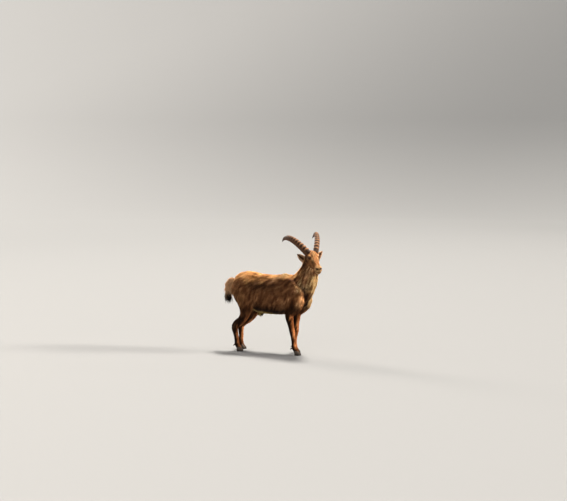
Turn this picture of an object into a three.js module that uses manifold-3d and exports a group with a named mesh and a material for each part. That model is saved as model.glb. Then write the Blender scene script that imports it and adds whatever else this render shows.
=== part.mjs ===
// An alpine ibex, a male of about five summers, standing on level ground and looking round to its right.
// Millimetres, +X towards the animal's front, +Y to its left, +Z up. The origin is on the ground, at the middle
// of the box that holds the whole animal.
import * as THREE from "three";
import { mergeVertices } from "three/addons/utils/BufferGeometryUtils.js";
import Module from "manifold-3d";

const wasm = await Module();
wasm.setup();

// Driving dimensions
const HEAD_LENGTH = 356; // from the back of the skull to the front of the nose
const HEAD_YAW = 44; // how far the head is turned to the animal's right, in degrees
const HEAD_PITCH = 24; // how far the head's long axis drops below the horizontal, in degrees
const HEAD_ROLL = 5.5; // how far its left side is raised, in degrees
const HORN_LENGTH = 518; // along its middle line, with what stands in the head
const HORN_DEPTH = 74; // of the horn's root, front to back
const HORN_WIDTH = 54; // of the horn's root, across
const HORN_RIDGES = 10;
const EAR_LENGTH = 116;
const EYE_RADIUS = 14; // before the head is brought to its length
const HOOF_HEIGHT = 46; // of each claw, with what the hair hides
const GAP = 0.3; // kept between any two neighbouring pieces

const X = new THREE.Vector3(1, 0, 0);
const Y = new THREE.Vector3(0, 1, 0);
const Z = new THREE.Vector3(0, 0, 1);
const rad = THREE.MathUtils.degToRad;
const lerp = THREE.MathUtils.lerp;

// Solids

// A closed geometry as a solid, turned right side out if its mapping has mirrored it. `grow` moves its faces
// outwards.
function solid(geometry, grow = 0) {
  const bare = geometry.clone();
  bare.deleteAttribute("normal");
  bare.deleteAttribute("uv");
  const merged = mergeVertices(bare, 1e-3);
  const at = merged.attributes.position;
  const faces = new Uint32Array(merged.index.array);
  const build = () => {
    const raw = new wasm.Mesh({ numProp: 3, vertProperties: at.array, triVerts: faces });
    return new wasm.Manifold(raw);
  };
  if (build().volume() < 0) faces.reverse();
  if (grow) swell(at, faces, grow);
  return build();
}

// Moves every corner out along its normal, far enough that each face round it has moved by `grow`.
function swell(at, faces, grow) {
  const corner = (i) => new THREE.Vector3().fromBufferAttribute(at, i);
  const round = Array.from({ length: at.count }, () => []);
  for (let i = 0; i < faces.length; i += 3) {
    const three = [...faces.slice(i, i + 3)];
    const face = new THREE.Triangle(...three.map(corner));
    const normal = face.getNormal(new THREE.Vector3());
    for (const k of three) round[k].push({ normal, area: face.getArea() });
  }
  const moved = round.map((touching, k) => {
    const normal = new THREE.Vector3();
    for (const face of touching) normal.addScaledVector(face.normal, face.area);
    normal.normalize();
    const least = Math.min(...touching.map((face) => face.normal.dot(normal)));
    return corner(k).addScaledVector(normal, grow / Math.max(least, 0.4));
  });
  moved.forEach((point, k) => at.setXYZ(k, point.x, point.y, point.z));
}

const union = (...solids) => solids.flat().reduce((all, next) => all.add(next));

// What is left of a solid once others are cut from it: its largest closed surface.
function trimmed(body, ...cutters) {
  const rest = cutters.flat().reduce((all, cutter) => all.subtract(cutter), body);
  return rest.decompose().reduce((a, b) => (b.volume() > a.volume() ? b : a));
}

// A named mesh of a solid, or of a geometry that needs no cutting.
function mesh(name, shape, material) {
  let geometry = shape;
  if (!shape.isBufferGeometry) {
    const raw = shape.getMesh();
    geometry = new THREE.BufferGeometry();
    geometry.setAttribute("position", new THREE.BufferAttribute(raw.vertProperties, 3));
    geometry.setIndex(new THREE.BufferAttribute(raw.triVerts, 1));
  }
  geometry.computeVertexNormals();
  const made = new THREE.Mesh(geometry, material);
  made.name = name;
  return made;
}

// A closed tube of any shape: place(t, angle, rim) gives each point from how far along it lies, its angle
// round the tube, and whether it is on the rim (1) or at the middle of an end (0).
function wrapped(sides, rings, place) {
  const tube = new THREE.CylinderGeometry(1, 1, 1, sides, rings);
  const at = tube.attributes.position;
  for (let i = 0; i < at.count; i++) {
    const rim = Math.round(Math.hypot(at.getX(i), at.getZ(i)));
    const angle = Math.atan2(at.getZ(i), at.getX(i));
    const point = place(0.5 - at.getY(i), angle, rim);
    at.setXYZ(i, point.x, point.y, point.z);
  }
  return tube;
}

// How far out an oval's edge lies at an angle: sideways and up, with its own roundness above and below.
function oval(angle, half, up, down, upper, lower) {
  const [side, height] = [Math.cos(angle), Math.sin(angle)];
  const power = 2 / (height > 0 ? upper : lower);
  const reach = (value) => Math.sign(value) * Math.abs(value) ** power;
  return [reach(side) * half, reach(height) * (height > 0 ? up : down)];
}

// A smooth body through rows of [x, y, z, half width, up, down, upper roundness, lower roundness]. Sections
// stand square to the path through the rows, with their width along `across`.
function lofted(rows, { sides = 16, rings = 20, across = Y } = {}) {
  const smooth = (pick) =>
    new THREE.CatmullRomCurve3(rows.map((row) => new THREE.Vector3(...pick(row))), false, "catmullrom");
  const path = smooth((row) => row.slice(0, 3));
  const sizes = smooth((row) => row.slice(3, 6));
  const roundness = smooth(([, , , , , , upper = 2, lower = 2]) => [upper, lower, 0]);
  return wrapped(sides, rings, (t, angle, rim) => {
    const centre = path.getPoint(t);
    const along = path.getTangent(t);
    const up = along.clone().cross(across).normalize();
    const side = up.clone().cross(along).normalize();
    const size = sizes.getPoint(t);
    const round = roundness.getPoint(t);
    const [out, rise] = oval(angle, size.x, size.y, size.z, round.x, round.y);
    return centre.addScaledVector(side, out * rim).addScaledVector(up, rise * rim);
  });
}

// An egg of three half axes, turned so that its first axis points along `along`.
function egg(centre, halves, along = X, sides = 14, rings = 9) {
  const made = new THREE.SphereGeometry(1, sides, rings);
  made.rotateX(Math.PI / 2);
  made.scale(...halves);
  const turn = new THREE.Quaternion().setFromUnitVectors(X, new THREE.Vector3(...along).normalize());
  made.applyQuaternion(turn);
  return made.translate(...centre);
}

// The same rows on the animal's other side.
const mirrored = (rows) => rows.map(([x, y, z, ...rest]) => [x, -y, z, ...rest]);

// Flat tapered locks of hair that bend along their lie.
function lock(root, along, { length, half, thick = half * 0.35, bend = [0, 0, -1], curl = 0.5, across = Y }) {
  const start = new THREE.Vector3(...root);
  const lie = new THREE.Vector3(...along).normalize();
  const drop = new THREE.Vector3(...bend);
  const rows = [0, 0.3, 0.6, 0.85, 1].map((t) => {
    const point = start.clone().addScaledVector(lie, length * t).addScaledVector(drop, length * curl * t * t);
    const taper = [0.75, 1, 0.8, 0.42, 0.08][Math.round(t * 4)];
    return [...point.toArray(), half * taper, thick * taper, thick * taper];
  });
  return solid(lofted(rows, { sides: 4, rings: 4, across }));
}

// Torso

// Where each section stands, the heights of its back and keel, its half width, and how round it is above and
// below.
const TORSO = [
  [-450, 694, 644, 30, 2, 2],
  [-434, 736, 596, 76, 2, 2],
  [-398, 780, 552, 104, 2.1, 2],
  [-345, 826, 522, 120, 2.1, 2],
  [-275, 853, 500, 130, 2.1, 2],
  [-190, 850, 468, 137, 2.1, 2.1],
  [-105, 838, 420, 147, 2.1, 2.2],
  [-20, 830, 408, 155, 2, 2.3],
  [65, 828, 408, 156, 1.9, 2.3],
  [150, 836, 412, 146, 1.8, 2.2],
  [230, 840, 420, 132, 1.7, 2.1],
  [305, 826, 432, 118, 1.8, 2],
  [362, 788, 448, 103, 1.9, 2],
  [406, 730, 472, 84, 2, 2],
  [435, 668, 514, 55, 2, 2],
  [447, 622, 556, 20, 2, 2],
];

function torsoBody(grow = 0) {
  const rows = TORSO.map(([x, back, keel, half, upper, lower]) => {
    const middle = lerp(keel, back, 0.48);
    return [x, 0, middle, half, back - middle, middle - keel, upper, lower];
  });
  const sheath = egg([-112, 0, 412], [46, 15, 19], [1, 0, 0.12], 12, 7);
  const purse = egg([-300, 0, 478], [34, 33, 52], X, 12, 8);
  return union([lofted(rows, { sides: 22, rings: 22 }), sheath, purse].map((shape) => solid(shape, grow)));
}

// Legs

// Rows run down each right leg, with half its thickness, and how far it reaches forwards and backwards.
const FORELEG = [
  [230, -48, 806, 10, 26, 30],
  [240, -74, 762, 36, 58, 66, 2.3, 2.6],
  [300, -88, 692, 50, 84, 96, 2.3, 2.8],
  [350, -93, 612, 55, 101, 118, 2.2, 2.8],
  [346, -97, 540, 55, 99, 112, 2.2, 2.6],
  [304, -99, 480, 48, 80, 74, 2.1, 2.3],
  [272, -98, 425, 40, 58, 48],
  [274, -94, 370, 34, 49, 42],
  [281, -90, 310, 29, 37, 34],
  [288, -88, 262, 28, 32, 32],
  [291, -87, 232, 29, 32, 31],
  [292, -86, 200, 23, 27, 26],
  [293, -86, 150, 19, 22, 23],
  [295, -86, 112, 20, 22, 25],
  [299, -86, 82, 24, 25, 29],
  [310, -86, 55, 22, 22, 25],
  [322, -86, 34, 27, 27, 27],
];
const HINDLEG = [
  [-264, -64, 804, 12, 34, 40],
  [-266, -76, 756, 50, 76, 90, 2.4, 2.4],
  [-285, -80, 700, 64, 118, 126, 2.6, 2.3],
  [-278, -85, 620, 66, 140, 122, 2.7, 2.2],
  [-258, -92, 540, 58, 138, 92, 2.4, 2.1],
  [-250, -97, 470, 49, 112, 68],
  [-252, -99, 410, 40, 70, 60],
  [-288, -98, 345, 34, 54, 50],
  [-341, -94, 300, 29, 44, 47],
  [-370, -92, 262, 28, 40, 42],
  [-369, -91, 215, 23, 33, 33],
  [-356, -90, 160, 20, 27, 27],
  [-350, -89, 112, 21, 26, 28],
  [-344, -88, 80, 24, 25, 30],
  [-334, -88, 55, 23, 23, 26],
  [-322, -88, 34, 27, 27, 27],
];
const FREE_FROM = 430; // the height below which a leg may swing forwards or back

// The rows of one leg, with its foot reaching that much further forwards than the table's.
function legRows(table, reach, left) {
  const swung = table.map(([x, y, z, ...rest]) => {
    const forwards = reach * Math.max(0, 1 - z / FREE_FROM);
    return [x + forwards, y, z, ...rest];
  });
  return left ? mirrored(swung) : swung;
}

const LEGS = [
  { name: "foreleg_R", table: FORELEG, reach: 42, left: false },
  { name: "foreleg_L", table: FORELEG, reach: -58, left: true },
  { name: "hindleg_R", table: HINDLEG, reach: -4, left: false },
  { name: "hindleg_L", table: HINDLEG, reach: -66, left: true },
].map((leg) => ({ ...leg, rows: legRows(leg.table, leg.reach, leg.left) }));

const legBody = (leg, grow = 0) => solid(lofted(leg.rows, { sides: 12, rings: 27 }), grow);

// Hooves: two claws under each pastern, and two dewclaws behind each fetlock

const CLAW_APART = 14.6; // from the middle of the foot to the middle of each claw
const DEWCLAW_APART = 13;
const CLAW = [
  [8, 0, 0, 12.8, 30, 36, 2, 1.6],
  [8, 0, 14, 13.8, 30, 34, 2, 1.7],
  [2, 0, 28, 13.4, 26, 26, 2, 1.9],
  [-2, 0, HOOF_HEIGHT, 10.5, 19, 17, 2, 2],
];
const DEWCLAW = [
  [9, 0, 5, 5, 6, 6],
  [0, 0, 0, 7.5, 8, 8],
  [-9, 0, -7, 6.5, 7, 7],
  [-15, 0, -16, 3, 3, 3],
];
const clawShape = () => lofted(CLAW, { sides: 12, rings: 3 });
const dewclawShape = () => lofted(DEWCLAW, { sides: 6, rings: 3 });

// Where each claw and dewclaw of a leg goes: name, place and shape.
function hoovesOf(leg) {
  const [footX, footY] = leg.rows.at(-1);
  const [fetlockX, fetlockY, fetlockZ] = leg.rows.at(-3);
  const side = leg.name.replace("leg", "");
  return ["outer", "inner"].flatMap((where) => {
    const out = (leg.left ? 1 : -1) * (where === "outer" ? 1 : -1);
    return [
      { name: `hoof_${side}_${where}`, at: [footX, footY + out * CLAW_APART, 0], shape: clawShape },
      {
        name: `dewclaw_${side}_${where}`,
        at: [fetlockX - 26, fetlockY + out * DEWCLAW_APART, fetlockZ - 8],
        shape: dewclawShape,
      },
    ];
  });
}

// Neck

// Rows run up the neck, with half its width, and how far it reaches towards the nape and the throat.
const NECK = [
  [296, 0, 640, 100, 146, 166],
  [342, 0, 712, 95, 138, 182],
  [386, 1, 785, 85, 108, 170],
  [420, 3, 850, 75, 86, 144],
  [444, 6, 912, 66, 70, 118],
  [458, 9, 970, 60, 62, 96],
  [467, 12, 1020, 52, 54, 76],
];
const neckBody = (grow = 0) => solid(lofted(NECK, { sides: 18, rings: 12 }), grow);

// Head: its own frame has +X from the neck joint towards the nose, +Y to its left and +Z towards the crown

const HEAD_AT = new THREE.Vector3(472, 11, 1040);
const turned = (pitch) => {
  const turn = new THREE.Euler(rad(HEAD_ROLL), rad(pitch), -rad(HEAD_YAW), "ZYX");
  return new THREE.Matrix4().makeRotationFromEuler(turn);
};

// Where each section stands, the heights of its crown and jaw, its half width, and how round it is.
const HEAD = [
  [-62, 6, -32, 13, 2, 2],
  [-50, 25, -52, 33, 2, 2],
  [-28, 44, -67, 47, 2.1, 2],
  [0, 60, -79, 55, 2.1, 1.9],
  [30, 65, -88, 60, 2.2, 1.8],
  [60, 68, -88, 61, 2.3, 1.8],
  [88, 65, -85, 57, 2.4, 1.8],
  [115, 57, -80, 49, 2.3, 1.8],
  [142, 47, -74, 41, 2.2, 1.9],
  [168, 38, -70, 36, 2.2, 2],
  [194, 30, -68, 33, 2.2, 2.1],
  [218, 23, -66, 33, 2.3, 2.2],
  [238, 16, -62, 31, 2.3, 2.2],
  [253, 6, -52, 26, 2.2, 2.2],
  [262, -6, -40, 17, 2, 2],
  [266, -14, -31, 8, 2, 2],
];
const EYE = [98, 45, 37]; // the left eyeball's centre
const EYE_FACES = [0.36, 0.92, 0.16];
const LIDS = { long: 15.5, high: 9.2, thick: 2.6, heavier: 1.2 }; // half the opening's length and height, and
// how thick the lower lid is and how much the upper one adds to that
const MOUTH_DEPTH = 3.5;

const headScale = HEAD_LENGTH / (HEAD.at(-1)[0] - HEAD[0][0]);
const headFrame = turned(HEAD_PITCH)
  .scale(new THREE.Vector3(headScale, headScale, headScale))
  .setPosition(HEAD_AT);
const inHead = (geometry) => geometry.applyMatrix4(headFrame);

// Swellings and hollows of the left side: where each is, how far it reaches, and how it moves the surface.
const SWELLINGS = [
  { at: [96, 50, 46], reach: 22, move: [0, 9, 5] }, // brow
  { at: [36, 50, -36], reach: 34, move: [0, 7, -2] }, // cheek
  { at: [38, 36, 66], reach: 27, move: [-3, 12, 12] }, // horn root
  { at: [247, 20, 0], reach: 12, move: [3, 4, 3] }, // nostril wing
  { at: [142, 38, 8], reach: 24, move: [0, -5, 0] }, // hollow before the eye
  { at: [240, 24, -20], reach: 16, move: [0, 4, -2] }, // upper lip
  { at: [240, 8, -52], reach: 18, move: [5, 2, -6] }, // chin
  { at: [72, 12, 72], reach: 26, move: [0, 0, 4] }, // forehead
];

// Moves the corners near each swelling, on both sides, less and less with distance.
function swollen(geometry) {
  const at = geometry.attributes.position;
  const both = SWELLINGS.flatMap(({ at: [x, y, z], reach, move: [dx, dy, dz] }) =>
    [1, -1].map((side) => ({ middle: new THREE.Vector3(x, y * side, z), reach, move: [dx, dy * side, dz] })),
  );
  for (let i = 0; i < at.count; i++) {
    const rest = new THREE.Vector3().fromBufferAttribute(at, i);
    const moved = rest.clone();
    for (const { middle, reach, move } of both) {
      const share = Math.exp(-rest.distanceToSquared(middle) / reach ** 2);
      moved.addScaledVector(new THREE.Vector3(...move), share);
    }
    at.setXYZ(i, moved.x, moved.y, moved.z);
  }
  return geometry;
}

const headRows = HEAD.map(([x, crown, jaw, half, upper, lower]) => {
  const middle = lerp(jaw, crown, 0.5);
  return [x, 0, middle, half, crown - middle, middle - jaw, upper, lower];
});

// Both sides of something on the head, from its left side.
const bothSides = (make, grow) => [1, -1].map((side) => solid(inHead(make(side)), grow));
const onSide = ([x, y, z], side) => [x, y * side, z];

// A ring of flesh round the eye, thick at the lids, drawn out to its two corners.
function lids(side) {
  const facing = new THREE.Vector3(...onSide(EYE_FACES, side)).normalize();
  const fore = X.clone().addScaledVector(facing, -facing.x).normalize();
  const up = fore.clone().cross(facing).multiplyScalar(-side);
  const centre = new THREE.Vector3(...onSide(EYE, side));
  const ring = new THREE.TorusGeometry(1, 0.1, 6, 18);
  const at = ring.attributes.position;
  for (let i = 0; i < at.count; i++) {
    const angle = Math.atan2(at.getY(i), at.getX(i));
    const outward = (Math.hypot(at.getX(i), at.getY(i)) - 1) * 10;
    const fleshy = at.getZ(i) * 10;
    const thick = LIDS.thick + (Math.sin(angle) > 0 ? LIDS.heavier : 0);
    const long = LIDS.long * Math.cos(angle);
    const high = LIDS.high * Math.sin(angle);
    const ball = Math.sqrt(Math.max(0, EYE_RADIUS ** 2 - long ** 2 - high ** 2));
    const point = centre
      .clone()
      .addScaledVector(fore, long + outward * thick * Math.cos(angle))
      .addScaledVector(up, high + outward * thick * Math.sin(angle))
      .addScaledVector(facing, Math.max(ball, 4) + fleshy * thick);
    at.setXYZ(i, point.x, point.y, point.z);
  }
  return ring;
}

const skull = (grow = 0) => solid(inHead(swollen(lofted(headRows, { sides: 22, rings: 30 }))), grow);

// The groove between the lips: a thin sheet through the muzzle, less all that lies deeper than the groove.
function mouthLine() {
  const sheet = [
    [190, 0, -47, 44, 0.4, 0.4],
    [202, 0, -45, 44, 1.1, 1.1],
    [226, 0, -41, 44, 1.3, 1.3],
    [248, 0, -37, 44, 1.3, 1.3],
    [280, 0, -36, 44, 1.3, 1.3],
  ];
  return solid(inHead(lofted(sheet, { sides: 4, rings: 8 }))).subtract(skull(-MOUTH_DEPTH));
}

// Ears

const EAR_ROOT = [6, 50, -46];
const EAR_POINTS = [-0.12, 0.76, 0.72]; // forwards, out and up, level with the ground
const EAR_OPENS = [0.93, 0.1, 0.1]; // where the cup faces
const EAR_HALF = 35; // half its width
const EAR_DEEP = 16; // half its depth at the root
const EAR_SUNK = 14; // how much of it stands in the head
const EAR_WALL = 5;

const earTurn = (side) => {
  const root = new THREE.Vector3(...onSide(EAR_ROOT, side)).applyMatrix4(headFrame);
  return turned(0).setPosition(root);
};

// An ear about its root, as a leaf drawn along its own line. `inset` shrinks it into the tool that hollows
// the cup.
function earLeaf(side, inset, raise) {
  const along = new THREE.Vector3(...onSide(EAR_POINTS, side)).normalize();
  const open = new THREE.Vector3(...onSide(EAR_OPENS, side));
  open.addScaledVector(along, -open.dot(along)).normalize();
  const width = along.clone().cross(open);
  return wrapped(12, 9, (t, angle, rim) => {
    const leaf = Math.max(0.05, Math.sin(Math.PI * Math.min(1, 0.2 + 0.8 * t)) ** 0.75);
    const half = Math.max(0.6, EAR_HALF * leaf - inset);
    const deep = Math.max(0.6, EAR_DEEP * leaf * (1 - 0.35 * t) - inset * 0.6);
    return new THREE.Vector3()
      .addScaledVector(along, lerp(-EAR_SUNK, EAR_LENGTH, t))
      .addScaledVector(width, Math.cos(angle) * half * rim)
      .addScaledVector(open, Math.sin(angle) * deep * rim + raise + 12 * t * t);
  }).applyMatrix4(earTurn(side));
}

// Horns: a path that rises back from the crown, levels out and drops to the tip, with ridges across its front

const HORN_ROOT = [42, 34, 42];
const RISE = [44.5, 84]; // the path's slope at the root, and how much of it is lost by the tip, in degrees
const SPREAD = [39.5, 42]; // how far it points outwards from straight back at the root, and how much is lost
const FIRST_RIDGE = 52; // from the root to the first ridge
const RIDGE_PITCH = [40, 25]; // from ridge to ridge at the root, and at the last ridge
const RIDGE_HEIGHT = 6;

function hornPath(side) {
  const points = [new THREE.Vector3(...onSide(HORN_ROOT, side)).applyMatrix4(headFrame)];
  const steps = 40;
  for (let i = 0; i < steps; i++) {
    const u = (i + 0.5) / steps;
    const slope = rad(RISE[0] - RISE[1] * u ** 1.8);
    const out = rad(SPREAD[0] - SPREAD[1] * u);
    const level = [-Math.cos(out) * Math.cos(slope), side * Math.sin(out) * Math.cos(slope), Math.sin(slope)];
    const step = new THREE.Vector3(...level).applyMatrix4(turned(0));
    points.push(points.at(-1).clone().addScaledVector(step, HORN_LENGTH / steps));
  }
  return new THREE.CatmullRomCurve3(points);
}

// How far along each ring of the horn lies, and how much of a ridge it carries.
const hornRings = [{ along: 0, ridge: 0 }];
let ridgeAt = FIRST_RIDGE;
for (let k = 0; k < HORN_RIDGES; k++) {
  const share = k / (HORN_RIDGES - 1);
  const pitch = lerp(...RIDGE_PITCH, share);
  const proud = lerp(1, 0.45, share);
  for (const [offset, height] of [[-0.42, 0], [-0.16, 0.85], [0.1, 1], [0.3, 0.15]])
    hornRings.push({ along: ridgeAt + offset * pitch, ridge: height * proud });
  ridgeAt += pitch;
}
for (const share of [0.35, 0.65, 0.85, 1])
  hornRings.push({ along: lerp(hornRings.at(-1).along, HORN_LENGTH, share), ridge: 0 });

function hornBody(side, grow = 0) {
  const path = hornPath(side);
  return solid(
    wrapped(10, hornRings.length - 1, (t, angle, rim) => {
      const ring = hornRings[Math.round(t * (hornRings.length - 1))];
      const u = ring.along / HORN_LENGTH;
      const taper = 1 - 0.12 * u - 0.82 * u ** 3.6;
      const along = path.getTangent(u);
      const level = along.clone().cross(Z).normalize();
      const front = level.clone().cross(along).normalize();
      const facing = Math.max(0, Math.sin(angle));
      const ridge = ring.ridge * RIDGE_HEIGHT * facing ** 0.6;
      const deep = (HORN_DEPTH / 2) * taper;
      const [out, rise] = oval(angle, (HORN_WIDTH / 2) * taper, deep, deep, 2.5, 1.8);
      const bulge = 1 + ridge / Math.hypot(out, rise);
      return path
        .getPoint(u)
        .addScaledVector(level, out * bulge * rim)
        .addScaledVector(front, rise * bulge * rim);
    }),
    grow,
  );
}

const nostril = (side) => egg(onSide([253, 18, -6], side), [11, 5, 6], [-0.4, 0.45 * side, 0.6], 8, 6);
const headBody = (grow = 0) => union(skull(grow), bothSides(lids, grow));

// Tail

const TAIL = [
  [-408, 0, 742, 26, 26, 28],
  [-448, 0, 738, 35, 32, 33],
  [-484, 0, 708, 40, 36, 36],
  [-503, 0, 664, 38, 35, 35],
  [-506, 0, 620, 29, 27, 28],
  [-499, 0, 584, 16, 14, 15],
];

const TAIL_ROWS = 5; // of locks, from the dock to the tip
const TAIL_LOCKS = 5; // in each row

// Locks in rows down the tail, lying back over the dock and longest at its tip.
function tailBody() {
  const core = solid(lofted(TAIL, { sides: 10, rings: 8 }));
  const locks = [];
  const path = new THREE.CatmullRomCurve3(TAIL.map(([x, y, z]) => new THREE.Vector3(x, y, z)));
  for (let row = 0; row < TAIL_ROWS; row++) {
    const t = lerp(0.28, 0.94, row / (TAIL_ROWS - 1));
    const centre = path.getPoint(t);
    const along = path.getTangent(t);
    const behind = along.clone().cross(Y).negate();
    for (let i = 0; i < TAIL_LOCKS; i++) {
      const turn = rad(lerp(-100, 100, i / (TAIL_LOCKS - 1)) + (row % 2) * 20);
      const out = behind.clone().multiplyScalar(Math.cos(turn)).addScaledVector(Y, Math.sin(turn));
      const root = centre.clone().addScaledVector(out, lerp(15, 4, t));
      const lie = along.clone().addScaledVector(out, lerp(0.42, 0.16, t));
      locks.push(
        lock(root.toArray(), lie.toArray(), {
          length: lerp(48, 84, t) * (1 - 0.16 * (i % 2)),
          half: lerp(13, 7, t),
          thick: lerp(4, 3, t),
          curl: 0.14,
          across: out.clone().cross(along).normalize(),
        }),
      );
    }
  }
  return union(core, locks);
}

// Materials

const fur = (color) => new THREE.MeshStandardMaterial({ color, roughness: 0.9, metalness: 0 });
const COAT = fur(0x8a5a3a);
const FACE = fur(0xa8703f);
const LEG = fur(0x5a3624);
const TAIL_HAIR = fur(0x2a1c16);
const EAR = fur(0x7a5238);
const HORN = new THREE.MeshStandardMaterial({ color: 0x6d5540, roughness: 0.7, metalness: 0 });
const HOOF = new THREE.MeshStandardMaterial({ color: 0x2c2622, roughness: 0.6, metalness: 0 });
const EYEBALL = new THREE.MeshStandardMaterial({ color: 0x3a2410, roughness: 0.1, metalness: 0 });

// Putting it together: each piece is cut clear of those that it carries

const ibex = new THREE.Group();
const put = (name, shape, material) => ibex.add(mesh(name, shape, material));

for (const leg of LEGS) {
  const hooves = hoovesOf(leg);
  const sockets = hooves.map(({ at, shape }) => solid(shape().translate(...at), GAP));
  put(leg.name, trimmed(legBody(leg), sockets), LEG);
  for (const { name, at, shape } of hooves) {
    const claw = mesh(name, shape(), HOOF);
    claw.position.set(...at);
    ibex.add(claw);
  }
}

const legSpace = LEGS.map((leg) => legBody(leg, GAP));
const torsoSpace = torsoBody(GAP);
const headSpace = headBody(GAP);
put("torso", trimmed(torsoBody(), legSpace), COAT);
put("neck", trimmed(neckBody(), torsoSpace, legSpace, headSpace), COAT);
put("tail", trimmed(tailBody(), torsoSpace), TAIL_HAIR);

const hornSpace = [1, -1].map((side) => hornBody(side, GAP));
const eyeball = (side) => egg(onSide(EYE, side), [EYE_RADIUS, EYE_RADIUS, EYE_RADIUS], X, 14, 8);
const eyeSpace = bothSides(eyeball, GAP);
const openings = [mouthLine(), bothSides(nostril)].flat();
put("head", trimmed(headBody(), hornSpace, eyeSpace, openings), FACE);

for (const [side, letter] of [[1, "L"], [-1, "R"]]) {
  put(`horn_${letter}`, hornBody(side), HORN);
  const ear = solid(earLeaf(side, 0, 0)).subtract(solid(earLeaf(side, EAR_WALL, 8)));
  put(`ear_${letter}`, trimmed(ear, headSpace, neckBody(GAP), hornSpace), EAR);
  put(`eye_${letter}`, inHead(eyeball(side)), EYEBALL);
}

const box = new THREE.Box3().setFromObject(ibex);
ibex.position.set(-(box.min.x + box.max.x) / 2, -(box.min.y + box.max.y) / 2, 0);

export default ibex;
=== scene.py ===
"""An alpine ibex looking round to its right: skin, coat, horns, eyes and hooves over the CAD frame.

Metres, +X towards the animal's front, +Y to its left, +Z up. Places on the body are given from the body's own
origin. Places on the head are in millimetres of the head's own frame: +X to the nose, +Y to its left and
+Z to the crown.
"""
import itertools
import math
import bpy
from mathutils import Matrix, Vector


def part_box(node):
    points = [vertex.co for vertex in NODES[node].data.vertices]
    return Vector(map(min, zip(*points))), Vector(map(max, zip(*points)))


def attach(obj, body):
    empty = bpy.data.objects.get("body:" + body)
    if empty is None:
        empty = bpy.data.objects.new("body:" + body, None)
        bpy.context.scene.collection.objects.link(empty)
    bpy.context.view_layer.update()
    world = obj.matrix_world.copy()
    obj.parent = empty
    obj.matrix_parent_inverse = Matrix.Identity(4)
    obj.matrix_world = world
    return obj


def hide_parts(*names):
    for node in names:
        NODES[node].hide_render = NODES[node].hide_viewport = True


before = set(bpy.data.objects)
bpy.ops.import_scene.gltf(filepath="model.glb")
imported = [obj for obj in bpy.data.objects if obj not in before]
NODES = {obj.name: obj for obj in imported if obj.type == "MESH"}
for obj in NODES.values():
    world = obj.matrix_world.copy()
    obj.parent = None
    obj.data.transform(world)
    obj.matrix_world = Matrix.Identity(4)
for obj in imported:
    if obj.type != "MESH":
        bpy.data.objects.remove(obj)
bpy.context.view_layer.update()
from types import SimpleNamespace

import bmesh
import bpy
import numpy as np
from mathutils import Euler, Vector
from mathutils.bvhtree import BVHTree

rng = np.random.default_rng(20)

# The head's frame, found from the two eyes
HEAD_YAW, HEAD_PITCH, HEAD_ROLL = 44, 24, 5.5
HEAD_UNIT = 0.356 / 328
EYE = np.array([98, 45, 37.0])
EAR_ROOT = np.array([6, 50, -46.0])
TURN = np.array(Euler([math.radians(a) for a in (HEAD_ROLL, HEAD_PITCH, -HEAD_YAW)], "XYZ").to_matrix())
LEVEL = np.array(Euler([math.radians(a) for a in (HEAD_ROLL, 0, -HEAD_YAW)], "XYZ").to_matrix())


def middle(node):
    return np.array(sum(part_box(node), Vector())) / 2


BETWEEN_EYES = (middle("eye_L") + middle("eye_R")) / 2
HEAD_AT = BETWEEN_EYES - TURN @ (EYE * [1, 0, 1]) * HEAD_UNIT
BODY_AT = HEAD_AT - [0.472, 0.011, 1.040]


def from_head(points):
    """Places given in the head's millimetres, in the frame's metres."""
    return HEAD_AT + np.asarray(points, float) @ TURN.T * HEAD_UNIT


def to_head(points):
    return (points - HEAD_AT) @ TURN / HEAD_UNIT


def mirrored(points):
    """Places with both sides folded onto the left."""
    return np.abs(points) * [0, 1, 0] + points * [1, 0, 1]


def ear_middle(side):
    """The middle of an ear's leaf, side 1 for the left and -1 for the right."""
    return from_head(EAR_ROOT * [1, side, 1]) + LEVEL @ [-0.006, 0.05 * side, 0.045]


def unit(vectors):
    return vectors / np.maximum(np.linalg.norm(vectors, axis=-1, keepdims=True), 1e-9)


def ramp(value, start, end):
    """0 before start, 1 after end, smooth in between."""
    t = np.clip((value - start) / (end - start), 0, 1)
    return t * t * (3 - 2 * t)


def lerp(start, end, share):
    return start + (end - start) * share


def near(points, centre, reach):
    """1 at the centre, fading to 0 with distance. reach may differ by axis."""
    return np.exp(-(((points - np.asarray(centre)) / reach) ** 2).sum(-1))


def lip_line(half):
    """The height of the line between the lips along the head, with a notch at the middle of the front."""
    level = np.interp(half[:, 0], [190, 202, 226, 248, 268], [-53, -50, -44, -38, -38])
    return level + 5 * np.exp(-((half[:, 1] / 8) ** 2)) * ramp(half[:, 0], 235, 250)


def noise(points, seed):
    """Smooth random numbers from -1 to 1, with waves about one unit long."""
    q = points + seed * 17.13
    base = np.floor(q).astype(np.int64)
    part = q - base
    part = part * part * (3 - 2 * part)
    total = np.zeros(len(points))
    for corner in itertools.product((0, 1), repeat=3):
        c = base + corner
        h = (c[:, 0] * 73856093) ^ (c[:, 1] * 19349663) ^ (c[:, 2] * 83492791) ^ (seed * 265443576)
        h = (h ^ (h >> 13)) * 1274126177
        h = (h ^ (h >> 16)) & 0xFFFF
        weight = np.prod(np.where(corner, part, 1 - part), axis=1)
        total += weight * (h / 32767.5 - 1)
    return total


def srgb(*levels):
    c = np.array(levels) / 255
    return np.where(c <= 0.04045, c / 12.92, ((c + 0.055) / 1.055) ** 2.4)


# Meshes

def coords(mesh):
    at = np.empty(len(mesh.vertices) * 3, np.float32)
    mesh.vertices.foreach_get("co", at)
    return at.reshape(-1, 3).astype(float)


def move_to(mesh, at):
    mesh.vertices.foreach_set("co", at.astype(np.float32).ravel())
    mesh.update()


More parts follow.
